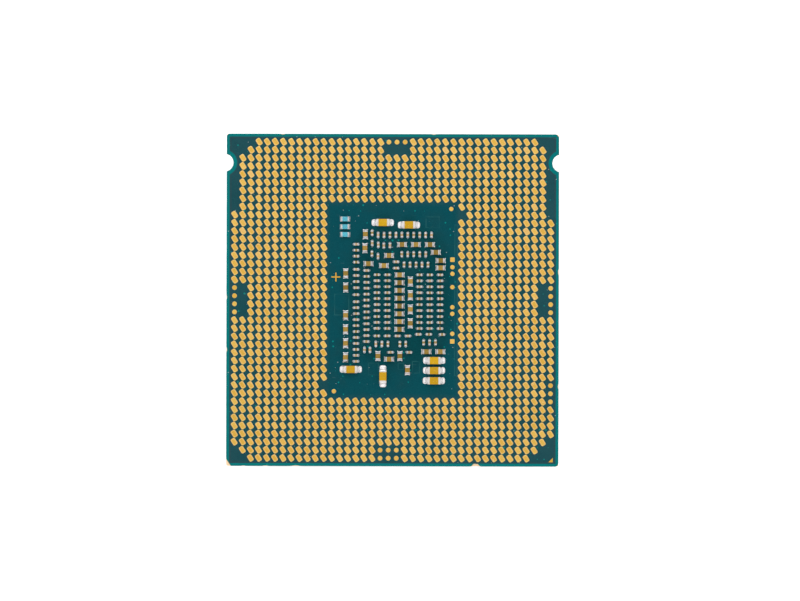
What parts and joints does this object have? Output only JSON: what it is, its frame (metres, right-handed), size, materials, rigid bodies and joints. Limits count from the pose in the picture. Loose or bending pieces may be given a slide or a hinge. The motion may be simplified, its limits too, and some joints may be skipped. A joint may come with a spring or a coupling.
{
  "type": "land grid array processor",
  "caption": "Square processor package with a stepped metal lid on one side and a grid of gold contact lands round a cluster of chip capacitors on the other.",
  "frame": {"origin": "centre of the lid's contact face, which is the lowest face as the part lies on its lid", "axes": "+Z through the package from the lid to the contact lands; +Y towards the edge nearer the two key notches; +X to the right seen from the land side, so the pin-one corner is at +X -Y"},
  "size_m": [0.0376, 0.0376, 0.005],
  "materials": {
    "nickel_plate": "satin",
    "sealant": "matte",
    "indium": "satin",
    "silicon": "polished",
    "solder": "satin",
    "epoxy": "matte",
    "solder_mask": "satin",
    "build_up_film": "satin",
    "laminate": "matte",
    "gold_plate": "satin",
    "ochre_ceramic": "satin",
    "brown_ceramic": "satin",
    "tan_ceramic": "satin",
    "blue_glaze": "gloss"
  },
  "bodies": {
    "root": {"alignment_cross": "gold_plate", "bulk_capacitor_1": "ochre_ceramic", "bulk_capacitor_2": "ochre_ceramic", "bulk_capacitor_3": "ochre_ceramic", "bulk_capacitor_4": "ochre_ceramic", "bulk_capacitors_right": "ochre_ceramic", "core_laminate": "laminate", "fiducial_lower_left": "gold_plate", "fiducial_upper_right": "gold_plate", "heat_spreader": "nickel_plate", "land_field_east": "gold_plate", "land_field_north": "gold_plate", "land_field_south": "gold_plate", "land_field_west": "gold_plate", "land_side_build_up": "build_up_film", "land_side_solder_mask": "solder_mask", "lid_sealant": "sealant", "lid_side_build_up": "build_up_film", "lid_side_solder_mask": "solder_mask", "medium_capacitor_1": "brown_ceramic", "medium_capacitor_2": "brown_ceramic", "medium_capacitor_3": "brown_ceramic", "medium_capacitor_4": "brown_ceramic", "medium_capacitor_5": "brown_ceramic", "medium_capacitors_centre": "brown_ceramic", "medium_capacitors_inner": "brown_ceramic", "medium_capacitors_left": "brown_ceramic", "medium_capacitors_lower_right": "brown_ceramic", "medium_capacitors_right": "brown_ceramic", "medium_capacitors_top": "brown_ceramic", "medium_capacitors_upper_left": "brown_ceramic", "medium_capacitors_upper_middle": "brown_ceramic", "pin_one_mark": "gold_plate", "probe_pads": "gold_plate", "resistor_1": "blue_glaze", "resistor_2": "blue_glaze", "resistor_3": "blue_glaze", "silicon_die": "silicon", "small_capacitor_1": "tan_ceramic", "small_capacitor_2": "tan_ceramic", "small_capacitors_column_a": "tan_ceramic", "small_capacitors_column_b": "tan_ceramic", "small_capacitors_column_c": "tan_ceramic", "small_capacitors_column_d": "tan_ceramic", "small_capacitors_column_e": "tan_ceramic", "small_capacitors_column_f": "tan_ceramic", "small_capacitors_column_g": "tan_ceramic", "small_capacitors_column_h": "tan_ceramic", "small_capacitors_pair": "tan_ceramic", "small_capacitors_row_a": "tan_ceramic", "small_capacitors_row_b": "tan_ceramic", "small_capacitors_row_c": "tan_ceramic", "small_capacitors_row_d": "tan_ceramic", "small_capacitors_row_e": "tan_ceramic", "small_capacitors_row_f": "tan_ceramic", "small_capacitors_row_g": "tan_ceramic", "small_capacitors_row_h": "tan_ceramic", "solder_bumps": "solder", "thermal_interface": "indium", "underfill": "epoxy"}
  },
  "joints": []
}
